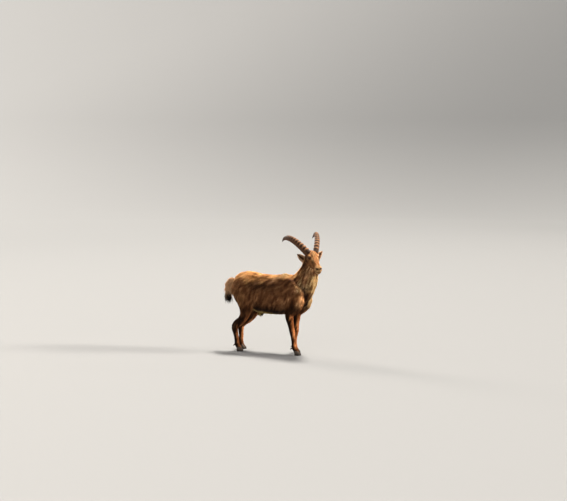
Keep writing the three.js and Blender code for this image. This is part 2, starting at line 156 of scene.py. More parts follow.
def normals(mesh):
    out = np.empty(len(mesh.vertices) * 3, np.float32)
    mesh.vertex_normals.foreach_get("vector", out)
    return out.reshape(-1, 3).astype(float)


def show(name, mesh, smooth=True):
    piece = bpy.data.objects.new(name, mesh)
    bpy.context.scene.collection.objects.link(piece)
    mesh.polygons.foreach_set("use_smooth", [smooth] * len(mesh.polygons))
    return piece


def merged(node):
    """A copy of a CAD node's mesh with its loose triangles joined."""
    bm = bmesh.new()
    bm.from_mesh(NODES[node].data)
    bmesh.ops.remove_doubles(bm, verts=bm.verts, dist=1e-5)
    mesh = bpy.data.meshes.new(node + "_copy")
    bm.to_mesh(mesh)
    bm.free()
    return mesh


def tube(name, sides, rings, place):
    """A closed tube: place(t, angle, rim) moves all its points at once, t from 0 to 1 along it."""
    bm = bmesh.new()
    bmesh.ops.create_cone(bm, cap_ends=True, cap_tris=True, segments=sides, radius1=1, radius2=1, depth=1)
    long_edges = [e for e in bm.edges if abs(e.verts[0].co.z - e.verts[1].co.z) > 0.5]
    bmesh.ops.subdivide_edges(bm, edges=long_edges, cuts=rings - 1)
    mesh = bpy.data.meshes.new(name)
    bm.to_mesh(mesh)
    bm.free()
    at = coords(mesh)
    rim = np.round(np.hypot(at[:, 0], at[:, 1]))
    move_to(mesh, place(at[:, 2] + 0.5, np.arctan2(at[:, 1], at[:, 0]), rim))
    bm = bmesh.new()
    bm.from_mesh(mesh)
    bmesh.ops.triangulate(bm, faces=[f for f in bm.faces if len(f.verts) > 4])
    bmesh.ops.recalc_face_normals(bm, faces=bm.faces)
    bm.to_mesh(mesh)
    bm.free()
    return mesh


def paint(mesh, name, colours):
    """A colour for each point of a mesh, as an attribute."""
    layer = mesh.attributes.new(name, "FLOAT_COLOR", "POINT")
    full = np.ones((len(colours), 4), np.float32)
    full[:, :3] = colours
    layer.data.foreach_set("color", full.ravel())


def applied(piece):
    """The piece's mesh with its modifiers applied, and the piece itself gone."""
    graph = bpy.context.evaluated_depsgraph_get()
    mesh = bpy.data.meshes.new_from_object(piece.evaluated_get(graph))
    bpy.data.objects.remove(piece)
    return mesh


# Skin

FLESH = ["torso", "neck", "head", "ear_L", "ear_R"]
FLESH += ["foreleg_L", "foreleg_R", "hindleg_L", "hindleg_R", "tail"]
TAIL_PATH = np.array([
    [-0.408, 0, 0.742], [-0.446, 0, 0.738], [-0.482, 0, 0.708],
    [-0.500, 0, 0.664], [-0.503, 0, 0.62], [-0.499, 0, 0.59],
])
TAIL_HALF = [0.025, 0.031, 0.032, 0.028, 0.019, 0.008]


def along_rows(t, rows):
    """Values between evenly spaced rows."""
    rows = np.asarray(rows, float)
    at = t * (len(rows) - 1)
    low = np.clip(at.astype(int), 0, len(rows) - 2)
    part = at - low
    part = part.reshape(part.shape + (1,) * (rows.ndim - 1))
    return rows[low] * (1 - part) + rows[low + 1] * part


def heading(t, rows, step):
    """The direction of a path of rows at t, taken between step before and step after."""
    return unit(along_rows(np.minimum(t + step, 1), rows) - along_rows(np.maximum(t - step, 0), rows))


def dock():
    """The fleshy core of the tail, under its hair."""
    def place(t, angle, rim):
        centre = along_rows(t, TAIL_PATH)
        out = np.cross(heading(t, TAIL_PATH, 0.05), [0, 1, 0])
        half = (along_rows(t, TAIL_HALF) * rim)[:, None]
        around = out * np.sin(angle)[:, None] + np.array([0, 1, 0]) * np.cos(angle)[:, None]
        return BODY_AT + centre + half * around
    return tube("dock", 16, 14, place)


def flesh():
    """All the soft parts in one mesh, each swollen a little so that it joins its neighbours."""
    parts = []
    for node in FLESH:
        mesh = dock() if node == "tail" else merged(node)
        move_to(mesh, coords(mesh) + normals(mesh) * 0.0005)
        parts.append(mesh)
    bm = bmesh.new()
    for mesh in parts:
        bm.from_mesh(mesh)
        bpy.data.meshes.remove(mesh)
    whole = bpy.data.meshes.new("flesh")
    bm.to_mesh(whole)
    bm.free()
    return whole


def edges_of(mesh):
    pairs = np.empty(len(mesh.edges) * 2, np.int64)
    mesh.edges.foreach_get("vertices", pairs)
    return pairs.reshape(-1, 2)


def blended(at, pairs, where, rounds):
    """Points drawn to their neighbours' average many times, only where `where` is above nothing."""
    inside = np.nonzero(where > 0.02)[0]
    place = np.full(len(at), -1)
    place[inside] = np.arange(len(inside))
    kept = place[pairs]
    kept = kept[(kept >= 0).all(1)]
    at = at.copy()
    at[inside] = averaged(at[inside], kept, rounds, 0.6, 1 - where[inside])
    return at


def averaged(values, pairs, rounds, share=0.5, hold=None):
    """Values at a mesh's points, drawn towards their neighbours' average. hold keeps some back."""
    values = values.reshape(len(values), -1).copy()
    count = np.bincount(pairs.ravel(), minlength=len(values))[:, None]
    give = share if hold is None else share * (1 - hold)[:, None]
    for _ in range(rounds):
        total = np.empty_like(values)
        for k in range(values.shape[1]):
            total[:, k] = np.bincount(pairs[:, 0], values[pairs[:, 1], k], len(values))
            total[:, k] += np.bincount(pairs[:, 1], values[pairs[:, 0], k], len(values))
        values += give * (total / np.maximum(count, 1) - values)
    return values


# Swellings and hollows of the body, in metres: place, reach by axis, and the move along the skin's normal
BODY_FORMS = [
    ([0.335, 0.145, 0.60], [0.05, 0.05, 0.09], 0.010),  # point of the shoulder
    ([0.255, 0.16, 0.66], [0.022, 0.06, 0.12], -0.006),  # behind the shoulder
    ([0.28, 0.15, 0.48], [0.03, 0.05, 0.035], 0.007),  # elbow
    ([-0.165, 0.15, 0.60], [0.045, 0.07, 0.10], -0.012),  # hollow of the flank
    ([-0.23, 0.13, 0.76], [0.035, 0.05, 0.03], 0.007),  # hip
    ([-0.385, 0.12, 0.66], [0.04, 0.06, 0.05], 0.005),  # rump
    ([-0.335, 0.13, 0.40], [0.035, 0.05, 0.05], -0.009),  # before the hock's tendon
    ([0.285, 0, 0.82], [0.04, 0.06, 0.05], 0.009),  # before the withers
    ([0.30, 0.10, 0.79], [0.035, 0.05, 0.035], 0.008),  # where the neck runs into the shoulder, from above
    ([0.35, 0.10, 0.75], [0.035, 0.05, 0.035], 0.009),
    ([0.40, 0.10, 0.71], [0.035, 0.05, 0.045], 0.012),
    ([0.435, 0.085, 0.68], [0.030, 0.04, 0.045], 0.012),
]

# The same for the head, with place and reach in its millimetres and the move in metres
HEAD_FORMS = [
    ([94, 50, 58], [17, 11, 8], 0.0045),  # brow over the eye
    ([120, 44, 46], [9, 9, 9], 0.0025),  # brow before the eye
    ([122, 44, 20], [14, 14, 7], -0.003),  # tear line
    ([60, 57, 26], [16, 12, 12], -0.004),  # temple
    ([58, 38, 64], [20, 12, 10], -0.003),  # side of the forehead
    ([104, 16, 62], [26, 9, 9], 0.0025),  # forehead, either side of its middle
    ([104, 0, 62], [34, 6, 9], -0.002),  # middle of the forehead
    ([80, 57, 6], [36, 14, 9], 0.0042),  # cheekbone
    ([138, 40, -2], [34, 10, 7], 0.003),  # cheekbone's ridge, towards the mouth
    ([150, 38, -22], [36, 12, 11], -0.003),  # hollow under it
    ([50, 54, -48], [28, 14, 22], 0.004),  # jaw muscle
    ([178, 20, 30], [42, 8, 8], 0.0026),  # edges of the nose's bridge
    ([170, 0, 38], [60, 8, 9], -0.0025),  # bridge of the nose
    ([196, 30, 8], [30, 9, 11], -0.003),  # side of the nose
    ([226, 0, 12], [34, 5, 14], -0.002),  # between the nostrils
    ([264, 0, -18], [14, 3.5, 16], -0.003),  # cleft of the upper lip
    ([244, 20, -24], [16, 9, 8], 0.002),  # upper lip
    ([240, 0, -60], [16, 16, 9], 0.002),  # chin
]


def sculpt(at, normal):
    """Folds and forms too fine for the CAD."""
    sided = mirrored(at - BODY_AT)
    move = sum(amount * near(sided, place, reach) for place, reach, amount in BODY_FORMS)
    half = mirrored(to_head(at))
    # the line between the lips, from the corner of the mouth to the front
    lips = ramp(half[:, 0], 188, 200) * (half[:, 0] < 275)
    gap = half[:, 2] - lip_line(half)
    beside = np.exp(-(((np.abs(gap) - 8) / 4.5) ** 2))
    move += lips * (-0.0045 * np.exp(-((gap / 3.0) ** 2)) + 0.0022 * beside)
    # nostrils: a comma-shaped hollow under a raised wing
    move -= 0.007 * near(half, [254, 18, -5], [10, 7, 5.5])
    move += 0.003 * near(half, [244, 23, 4], [11, 7, 5])
    # folds over and under the eye
    fold = np.hypot((half[:, 0] - EYE[0]) / 1.35, half[:, 2] - EYE[2])
    outside = half[:, 1] > 30
    move += outside * 0.0020 * np.exp(-(((fold - 17.5) / 3.2) ** 2)) * ramp(half[:, 2], 30, 42)
    move += outside * 0.0036 * np.exp(-(((fold - 13.5) / 3.2) ** 2)) * ramp(half[:, 2], 43, 48)
    move -= outside * 0.0016 * np.exp(-(((fold - 22) / 3.5) ** 2))
    move += sum(amount * near(half, place, reach) for place, reach, amount in HEAD_FORMS)
    return at + normal * move[:, None]


def depth_of(at):
    """How far the skin lies inside the solids, to leave room for the coat."""
    body = at - BODY_AT
    head = to_head(at)
    face = ramp(head[:, 0], -60, 20) * (np.linalg.norm(head - [110, 0, 0], axis=1) < 260)
    depth = 0.0055 + 0.0035 * near(body, [0.37, 0, 0.80], [0.16, 0.3, 0.22])
    leg = 1 - ramp(body[:, 2], 0.22, 0.42)
    depth = depth * (1 - leg) + (0.0022 - 0.001 * (body[:, 2] < 0.09)) * leg
    depth = depth * (1 - face) + 0.0014 * face
    for side in (1, -1):
        eye = from_head(EYE * [1, side, 1])
        depth *= ramp(np.linalg.norm(at - eye, axis=1), 0.019, 0.030)
        depth *= ramp(np.linalg.norm(at - ear_middle(side), axis=1), 0.055, 0.085)
    return depth


# Where the CAD's parts meet and the living animal shows no border: place and reach by axis
SEAMS = [
    ([0.24, 0.10, 0.73], [0.11, 0.12, 0.11]),
    ([0.26, 0.13, 0.60], [0.05, 0.10, 0.14]),
    ([-0.28, 0.10, 0.69], [0.16, 0.12, 0.13]),
    ([-0.16, 0.13, 0.58], [0.05, 0.10, 0.12]),
    ([0.33, 0.05, 0.79], [0.09, 0.12, 0.08]),
    ([0.40, 0.05, 0.63], [0.06, 0.06, 0.06]),
    ([0.37, 0.09, 0.72], [0.06, 0.08, 0.07]),
]


VOXEL = 0.0024
BODY_ROUNDS, SEAM_ROUNDS = ((40, 220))
SKIN_FACES = 88000


def skin_mesh():
    block = show("flesh", flesh())
    voxel = block.modifiers.new("One skin", "REMESH")
    voxel.mode = "VOXEL"
    voxel.voxel_size = VOXEL
    mesh = applied(block)
    pairs = edges_of(mesh)
    at = coords(mesh)
    body = at - BODY_AT
    head = to_head(at)
    # seams between the body's parts are smoothed most, the face and ears least
    face = 1 - ramp(np.linalg.norm((head - [110, 0, 0]) / [1, 0.8, 0.8], axis=1), 165, 215)
    ears = np.zeros(len(at))
    for side in (1, -1):
        ears = np.maximum(ears, 1 - ramp(np.linalg.norm(at - ear_middle(side), axis=1), 0.055, 0.075))
    fine = np.maximum(face, ears)
    low = 1 - ramp(body[:, 2], 0.20, 0.40)
    at = averaged(at, pairs, BODY_ROUNDS, 0.5, np.clip(fine + 0.75 * low, 0, 1))
    at = averaged(at, pairs, 2, 0.4)
    sided = mirrored(body)
    seams = np.max([near(sided, place, reach) for place, reach in SEAMS], 0) * (1 - fine)
    at = blended(at, pairs, ramp(seams, 0.1, 0.6), SEAM_ROUNDS)
    move_to(mesh, at)
    at = at - normals(mesh) * depth_of(at)[:, None]
    move_to(mesh, at)
    at = sculpt(at, normals(mesh))
    move_to(mesh, averaged(at, pairs, 1, 0.3))
    block = show("flesh", mesh)
    group = block.vertex_groups.new(name="coarse")
    keep = np.round(fine * 4).astype(int)
    for level in range(5):
        group.add(np.nonzero(keep == level)[0].tolist(), 1 - 0.24 * level, "REPLACE")
    thin = block.modifiers.new("Thin", "DECIMATE")
    thin.ratio = min(1, SKIN_FACES / len(mesh.polygons))
    thin.vertex_group = "coarse"
    thin.vertex_group_factor = 1.0
    return applied(block)


SKIN = skin_mesh()
print("skin", len(SKIN.vertices), "points", len(SKIN.polygons), "faces")

# What grows where: each point of the skin by its nearest CAD node, softened over the borders

REGIONS = ["torso", "neck", "head", "ear", "foreleg", "hindleg", "tail"]


def tree_of(names):
    """One search tree over several CAD nodes, and which node each of its faces came from."""
    corners, faces, owner = [], [], []
    for name in names:
        mesh = NODES[name].data
        faces += [[i + len(corners) for i in p.vertices] for p in mesh.polygons]
        corners += [v.co.copy() for v in mesh.vertices]
        owner += [name] * len(mesh.polygons)
    return BVHTree.FromPolygons(corners, faces), owner


def belonging(mesh):
    tree, owner = tree_of(FLESH)
    at = coords(mesh)
    share = np.zeros((len(at), len(REGIONS)))
    column = {name: next(i for i, r in enumerate(REGIONS) if name.startswith(r)) for name in FLESH}
    for i, point in enumerate(at):
        share[i, column[owner[tree.find_nearest(Vector(point))[2]]]] = 1
    pairs = edges_of(mesh)
    soft = averaged(share, pairs, 22, 0.6)
    ears = averaged(share[:, 3:4], pairs, 3, 0.5)
    soft[:, 3:4] = ears
    others = [0, 1, 2, 4, 5, 6]
    soft[:, others] *= (1 - ears) / np.maximum(soft[:, others].sum(1, keepdims=True), 1e-6)
    # the neck's long hair falls over the top of the shoulder
    body = mirrored(at - BODY_AT)
    over = 0.85 * near(body, [0.39, 0.11, 0.70], [0.06, 0.07, 0.06])[:, None]
    soft *= 1 - over
    soft[:, 1:2] += over
    return soft


AT = coords(SKIN)
NORMAL = unit(averaged(normals(SKIN), edges_of(SKIN), 2, 0.5))
SHARE = belonging(SKIN)


def sideways(at):
    """1 on the animal's left and -1 on its right, as seen along the head."""
    return np.sign(to_head(at)[:, 1])


def across_ear(at):
    """How far out from an ear's own middle line a point lies: 0 on the line, 1 at the rim."""
    least = np.full(len(at), 9.0)
    for side in (1, -1):
        along = unit(np.array([-0.12, 0.76 * side, 0.72]))
        width = unit(np.cross(along, [0.93, 0.1 * side, 0.1]))
        local = (at - from_head(EAR_ROOT * [1, side, 1])) @ LEVEL
        t = np.clip((local @ along + 0.014) / 0.130, 0, 1)
        leaf = np.maximum(0.05, np.sin(math.pi * np.minimum(1, 0.2 + 0.8 * t)) ** 0.75)
        least = np.minimum(least, np.abs(local @ width) / (0.035 * leaf))
    return least


def lie_of(at, normal, share):
    """Which way the hair lies: from the nose over the head, down the neck, along the body, down the legs."""
    body = at - BODY_AT
    fall = -0.62 + 0.3 * ramp(normal[:, 2], 0.2, 0.9) - 0.9 * (1 - ramp(body[:, 2], 0.50, 0.76))
    back = unit(np.stack([np.full(len(at), -1.0), 0 * body[:, 1], fall], 1))
    down_neck = unit(np.array([-0.42, 0, -0.90]) + 0 * at)
    head = to_head(at)
    nape = ramp(-(normal @ TURN)[:, 0], 0.2, 0.8)
    over = np.stack([0.8 * nape - 1, 0 * nape, 0.55 * ramp(head[:, 2], -10, 50) - 0.35 - 1.6 * nape], 1)
    over_head = unit(over) @ TURN.T
    side = sideways(at)[:, None]
    out_ear = unit(np.array([-0.12, 0, 0.62]) + np.array([0, 0.77, 0]) * side) @ LEVEL.T
    down_fore = unit(np.array([-0.16, 0, -1]) + 0 * at)
    slope = -0.45 * ramp(body[:, 2], 0.35, 0.6)
    down_hind = unit(np.stack([slope, 0 * body[:, 1], np.full(len(at), -1.0)], 1))
    off = np.linalg.norm(body[:, None] - TAIL_PATH[None], axis=2)
    nearest = np.clip(off.argmin(1), 0, len(TAIL_PATH) - 2)
    down_tail = unit(TAIL_PATH[nearest + 1] - TAIL_PATH[nearest] + np.array([-0.004, 0, -0.006]))
    ways = [back, down_neck, over_head, out_ear, down_fore, down_hind, down_tail]
    mixed = sum(way * share[:, k:k + 1] for k, way in enumerate(ways))
    swirl = 0.30 * noise(at / 0.07, 3) + 0.14 * noise(at / 0.02, 4)
    flat = unit(mixed - normal * (mixed * normal).sum(1, keepdims=True))
    return unit(flat + np.cross(normal, flat) * swirl[:, None])


WITHERS, CROUP, SHEATH = [0.21, 0, 0.84], [-0.24, 0, 0.84], [-0.078, 0, 0.397]


def length_of(at, normal, share):
    """The coat's length, in metres."""
    body = at - BODY_AT
    head = to_head(at)
    torso = 0.027 + 0.008 * ramp(normal[:, 2], 0.5, 0.95) + 0.007 * ramp(-normal[:, 2], 0.3, 0.9)
    torso = torso + 0.012 * near(body, WITHERS, [0.05, 0.06, 0.05])
    torso = torso + 0.006 * near(body, CROUP, [0.14, 0.2, 0.1])
    torso = torso + 0.022 * near(body, SHEATH, [0.03, 0.04, 0.03])
    torso = torso + 0.014 * near(body, [0.29, 0, 0.82], [0.05, 0.06, 0.05])
    neck = 0.036 + 0.012 * noise(at / 0.05, 8) + 0.010 * near(body, [0.34, 0, 0.58], [0.1, 0.1, 0.12])
    face = 0.013 - 0.0068 * ramp(head[:, 0], 60, 190)
    face = face + 0.009 * near(head, [40, 0, 66], [26, 26, 22])
    face = face + 0.017 * ramp(-head[:, 0], -25, 40)
    face = face + 0.010 * near(head, [232, 0, -60], [24, 20, 12])
    half = mirrored(head)
    face = face + 0.020 * ramp(-head[:, 2], 42, 68) * (1 - ramp(head[:, 0], 130, 200))
    face = face + 0.012 * near(half, [56, 34, 58], [26, 20, 20])
    ear = np.full(len(at), 0.011)
    upper = ramp(body[:, 2], 0.30, 0.52)
    legs = 0.0115 + 0.005 * (body[:, 0] < 0) * ramp(body[:, 2], 0.08, 0.16) + 0.013 * upper
    legs = legs + 0.004 * near(body * [0, 0, 1], [0, 0, 0.06], [1, 1, 0.03])
    tail = 0.046 + 0.016 * noise(at / 0.014, 18) + 0.044 * (1 - ramp(body[:, 2], 0.61, 0.68))
    tail = tail * (1 + 0.25 * noise(at / 0.006, 21))
    kinds = [torso, neck, face, ear, legs, legs, tail]
    return sum(kind * share[:, k] for k, kind in enumerate(kinds))


def stand_of(at):
    """How much steeper than elsewhere the hair stands."""
    body = at - BODY_AT
    stand = 1 + 1.6 * near(body, WITHERS, [0.030, 0.05, 0.05])
    stand = stand + 0.5 * near(body, CROUP, [0.14, 0.2, 0.1])
    return stand + 3.5 * near(body, SHEATH, [0.03, 0.04, 0.03])


CHESTNUT = srgb(122, 80, 50)
# painted light: the sunlit colour laid on the top of the back, the top of the neck and the upper legs
SUNLIT_COAT = srgb(244, 178, 112)
BELLY = srgb(176, 148, 84)
SABLE = srgb(35, 19, 9)
LEG = srgb(46, 27, 15)
# painted light: the sunlit colour of the legs' fronts
SUNLIT_SHIN = srgb(204, 130, 78)
FACE = srgb(150, 101, 62)
CHEEK = srgb(122, 80, 46)
THROAT = srgb(255, 210, 146)
MUZZLE = srgb(166, 128, 88)
RUMP = srgb(166, 120, 78)
TAIL_TOP = srgb(255, 206, 160)
BLACK = srgb(22, 16, 14)
RIM = srgb(222, 180, 146)
# painted highlight: the lit bulge at the point of the shoulder
SHOULDER_HIGHLIGHT = srgb(226, 160, 104)
BRIGHTEST = 1.4

# Axes along the hair of the back, and along that of the belly and neck
SLANT = np.array([[-0.87, 0, -0.49], [0.49, 0, -0.87], [0, 1, 0]]).T
STEEP = np.array([[-0.42, 0, -0.9], [0.9, 0, -0.42], [0, 1, 0]]).T
# A darker streak is redder, a lighter one paler
REDDER = np.array([0.84, 1.0, 1.14])


def natural(colours):
    """Colours kept from going brighter than hair can, with their hue."""
    return colours / np.sqrt(1 + (colours.max(-1, keepdims=True) / BRIGHTEST) ** 2)


def colour_of(at, normal, share):
    """The markings, with painted light and shade laid over them, the same for skin and coat."""
    body = at - BODY_AT
    x, y, z = body.T
    side = mirrored(body)
    head = to_head(at)
    half = mirrored(head)

    def lay(base, colour, amount):
        return base + (colour - base) * np.clip(amount, 0, 1)[:, None]

    torso = np.tile(CHESTNUT, (len(at), 1))
    # painted light: above a wavy line along the body the coat is lit, as by a sun from above
    edge = np.interp(x, [-0.4, -0.25, -0.1, 0.05, 0.2, 0.3], [0.70, 0.725, 0.77, 0.79, 0.805, 0.815])
    sunlit = 0.97 * ramp(z - edge + 0.045 * noise(body @ SLANT / [0.10, 0.03, 0.05], 17), -0.035, 0.035)
    torso = lay(torso, SUNLIT_COAT, sunlit)
    torso = lay(torso, RUMP, ramp(-x, 0.33, 0.45) * ramp(z, 0.45, 0.6))
    # painted shade: a darker band along the flank just under its lit top
    torso = lay(torso, SABLE, 0.62 * near(body * [1, 0, 1], [-0.05, 0, 0.72], [0.3, 1, 0.055]))
    # painted highlight on the point of the shoulder
    torso = lay(torso, SHOULDER_HIGHLIGHT, 0.8 * near(side, [0.42, 0.10, 0.59], [0.05, 0.09, 0.08]))
    # painted light: the far side of the chest is lighter, as lit by the sun
    torso = lay(torso, THROAT, 1.1 * near(body, [0.44, 0.075, 0.57], [0.07, 0.05, 0.10]))
    keel_at = [-0.4, -0.3, -0.19, -0.1, 0.15, 0.3, 0.45]
    above = z - np.interp(x, keel_at, [0.54, 0.51, 0.468, 0.43, 0.41, 0.43, 0.50])
    torso = lay(torso, SABLE, 0.35 * (1 - ramp(above, 0.07, 0.17)))
    stripe = np.exp(-(((above - 0.046) / 0.026) ** 2)) * ramp(x, -0.24, -0.14)
    torso = lay(torso, SABLE, 0.95 * stripe)
    pale = (1 - ramp(above, 0.012, 0.034)) * ramp(-x, -0.16, -0.06)
    torso = lay(torso, BELLY, pale * ramp(-normal[:, 2], 0.1, 0.5))
    torso = lay(torso, SABLE, 0.95 * near(side, [0.34, 0.0, 0.455], [0.10, 0.14, 0.05]))
    torso = lay(torso, SABLE, 0.85 * near(side, [0.44, 0.0, 0.55], [0.06, 0.020, 0.12]))
    torso = lay(torso, SABLE, 1.3 * near(side, SHEATH, [0.024, 0.03, 0.022]))
    torso = lay(torso, THROAT, 1.2 * near(side, WITHERS, [0.04, 0.06, 0.04]))
    # painted shadow: dark patches down the front of the neck's base and the chest, on one side only
    painted_shadow = near(body, [0.445, -0.06, 0.645], [0.025, 0.035, 0.05])
    painted_shadow = painted_shadow + near(body, [0.445, -0.01, 0.58], [0.05, 0.03, 0.06])
    painted_shadow = painted_shadow + near(body, [0.40, 0.03, 0.49], [0.05, 0.06, 0.03])
    torso = lay(torso, SABLE, painted_shadow)
    neck = np.tile(CHESTNUT, (len(at), 1))
    # painted light: the top of the neck is lighter where it faces up
    neck = lay(neck, SUNLIT_COAT, 0.9 * ramp(normal[:, 2], 0.0, 0.5) * (1 - ramp(np.abs(y), 0.045, 0.085)))
    lit_edge = 0.98 * ramp(normal[:, 0], 0.32, 0.62) * ramp(z, 0.64, 0.74) * (1 - ramp(z, 0.83, 0.87))
    neck = lay(neck, THROAT, lit_edge)
    # painted shadow of the jaw on the top of the neck
    neck = lay(neck, SABLE, 0.6 * near(side, [0.50, 0.03, 0.885], [0.06, 0.05, 0.03]))
    # painted light on the far side of the neck's base
    neck = lay(neck, THROAT, 0.9 * near(body, [0.47, 0.06, 0.62], [0.06, 0.05, 0.09]))
    neck = lay(neck, THROAT, 0.3 * near(side, [0.41, 0.084, 0.76], [0.02, 0.05, 0.09]))
    # darker where the neck meets the shoulder: dark coat with painted shade in the groove there
    neck = lay(neck, SABLE, 1.1 * near(side, [0.435, 0.085, 0.69], [0.05, 0.07, 0.085]))
    # painted shadow carried onto the neck's hair
    neck = lay(neck, SABLE, painted_shadow)
    neck = lay(neck, SABLE, 0.6 * near(side, [0.505, 0.05, 0.73], [0.02, 0.03, 0.04]))
    neck = lay(neck, SABLE, 0.55 * near(side, [0.44, 0.06, 0.93], [0.04, 0.05, 0.09]))
    face = np.tile(CHEEK, (len(at), 1))
    # front and top of the face lighter than its sides: partly the coat's colour, partly painted light
    face = lay(face, FACE, ramp(half[:, 2] - 0.4 * half[:, 1], -14, 40))
    face = lay(face, MUZZLE, 0.9 * ramp(half[:, 0], 205, 240))
    # darker under the cheekbone and at the ear's root: dark brown coat with painted shade under them
    face = lay(face, SABLE, 0.85 * near(half, [66, 55, -10], [38, 30, 25]))
    face = lay(face, SABLE, 0.8 * near(half, [25, 56, -6], [28, 24, 32]))
    dark = 0.55 * near(half, [112, 25, 56], [28, 5, 14]) + 0.5 * near(half, [160, 34, 14], [22, 12, 9])
    face = lay(face, SABLE, dark)
    # painted highlights along the edge of the nose's bridge and on the brow over the eye
    pale = 0.4 * near(half, [142, 27, 36], [32, 7, 11]) + 0.5 * near(half, [96, 50, 60], [16, 12, 6])
    face = lay(face, THROAT, pale)
    face = lay(face, THROAT, 0.35 * near(half, [92, 8, 68], [30, 8, 14]))
    face = lay(face, THROAT, 0.15 * ramp(-half[:, 2], 60, 84) * ramp(half[:, 0], -20, 20))
    eye = np.hypot((half[:, 0] - EYE[0]) / 1.3, half[:, 2] - EYE[2])
    face = lay(face, BLACK, 0.95 * (1 - ramp(eye, 14, 21)) * (half[:, 1] > 25))
    nose = 1.6 * near(half, [255, 19, -4], [15, 11, 8]) + 0.85 * near(half, [266, 0, -9], [11, 18, 8])
    face = lay(face, BLACK, nose)
    # painted shade in the crease between the lips
    mouth = np.exp(-(((half[:, 2] - lip_line(half)) / 5) ** 2)) * ramp(half[:, 0], 190, 225)
    face = lay(face, BLACK, mouth)
    # painted shade under the jaw
    face = lay(face, SABLE, 0.5 * ramp(-half[:, 2], 56, 70) * ramp(half[:, 0], 100, 150))
    opened = normal @ (LEVEL @ [0.93, 0, 0.1])
    out = across_ear(at)
    # painted shade: the ear is darker deep in its hollow, away from the rim
    ear = lay(np.tile(CHEEK, (len(at), 1)), SABLE, 0.75 * ramp(opened, 0.1, 0.6) * (1 - ramp(out, 0.15, 0.5)))
    ear = lay(ear, RIM, 0.85 * ramp(out, 0.18, 0.7) * ramp(opened, -0.4, 0.1))
    # painted light: the legs are lighter where they face forward
    lit_front = normal[:, 0] + 0.3 * noise(body @ STEEP / [0.06, 0.014, 0.014], 23)
    leg = lay(np.tile(LEG, (len(at), 1)), SUNLIT_SHIN, ramp(lit_front, 0.02, 0.86))
    # painted shade: the legs are darker where they face backwards
    leg = lay(leg, SABLE, 0.5 * ramp(-normal[:, 0], 0.2, 0.8))
    leg = lay(leg, CHESTNUT, ramp(z, 0.40, 0.58))
    leg = lay(leg, SABLE, 0.6 * (1 - ramp(z, 0.06, 0.12)))
    fore = lay(leg, SUNLIT_COAT, sunlit)
    # painted highlight on the point of the shoulder, carried onto the foreleg's hair
    fore = lay(fore, SHOULDER_HIGHLIGHT, 0.9 * near(side, [0.425, 0.12, 0.60], [0.05, 0.08, 0.085]))
    # painted light on the far side of the chest, carried onto the foreleg's hair
    fore = lay(fore, THROAT, 1.1 * near(body, [0.44, 0.09, 0.57], [0.07, 0.05, 0.10]))
    # painted shadow carried onto the foreleg's hair
    fore = lay(fore, SABLE, painted_shadow)
    # painted shade on the outer side of the near foreleg only
    fore = lay(fore, SABLE, 0.85 * near(body, [0.38, -0.14, 0.50], [0.07, 0.1, 0.055]))
    fore = lay(fore, SABLE, 0.6 * near(side, [0.25, 0.12, 0.44], [0.04, 0.1, 0.05]))
    hind = lay(leg, RUMP, ramp(-normal[:, 0], 0.1, 0.7) * ramp(z, 0.40, 0.52))
    hind = lay(hind, SUNLIT_COAT, sunlit)
    hind = lay(hind, CHESTNUT, ramp(z, 0.35, 0.48) * ramp(-x, 0.16, 0.26))
    hind = lay(hind, RUMP, 0.45 * ramp(z, 0.40, 0.50) * (1 - ramp(z, 0.62, 0.72)) * ramp(-x, 0.20, 0.28))
    hind = lay(hind, SABLE, 0.7 * near(side, [-0.18, 0.12, 0.45], [0.07, 0.1, 0.06]))
    ragged = z + 0.016 * noise(at / 0.012, 10)
    tail = lay(np.tile(TAIL_TOP, (len(at), 1)), BLACK, 1 - ramp(ragged, 0.630, 0.668))
    face = face * np.exp(0.60 * noise(head / [34, 11, 15], 19) + 0.3 * noise(head / [12, 5, 6], 20))[:, None]
    kinds = [torso, neck, face, ear, fore, hind, tail]
    mixed = sum(kind * share[:, k:k + 1] for k, kind in enumerate(kinds))
    # streaks along the lie, finer on the head
    upper = noise(body @ SLANT / [0.13, 0.042, 0.06], 5) + noise(body @ SLANT / [0.06, 0.016, 0.02], 6)
    lower = noise(body @ STEEP / [0.12, 0.038, 0.06], 13) + noise(body @ STEEP / [0.05, 0.015, 0.02], 16)
    on_neck = noise(body @ STEEP / [0.13, 0.026, 0.026], 7)
    on_neck = on_neck + 1.1 * noise(body @ STEEP / [0.06, 0.012, 0.012], 9)
    high = ramp(z, 0.60, 0.76)
    streak = (upper * high + lower * (1 - high)) * (1 - share[:, 1]) + 1.4 * on_neck * share[:, 1]
    streak *= 1.10 * (1 - 0.85 * share[:, 2]) * (1 - 0.8 * share[:, 3]) * (1 - 0.5 * share[:, 6])
    return natural(mixed * np.exp(streak[:, None] * REDDER))


COLOUR = colour_of(AT, NORMAL, SHARE)
LENGTH = length_of(AT, NORMAL, SHARE)

# Materials


def finish_of(name, roughness, specular, colour=None, coat=0.0):
    """A plain material: its own colour, or else the colours painted on the mesh."""
    made = bpy.data.materials.new(name)
    made.use_nodes = True
    shader = made.node_tree.nodes["Principled BSDF"]
    shader.inputs["Roughness"].default_value = roughness
    shader.inputs["Specular IOR Level"].default_value = specular
    shader.inputs["Coat Weight"].default_value = coat
    shader.inputs["Coat Roughness"].default_value = 0.03
    if colour is not None:
        shader.inputs["Base Color"].default_value = (*colour, 1)
    else:
        read = made.node_tree.nodes.new("ShaderNodeAttribute")
        read.attribute_name = "markings_and_painted_light"
        made.node_tree.links.new(read.outputs["Color"], shader.inputs["Base Color"])
    return made


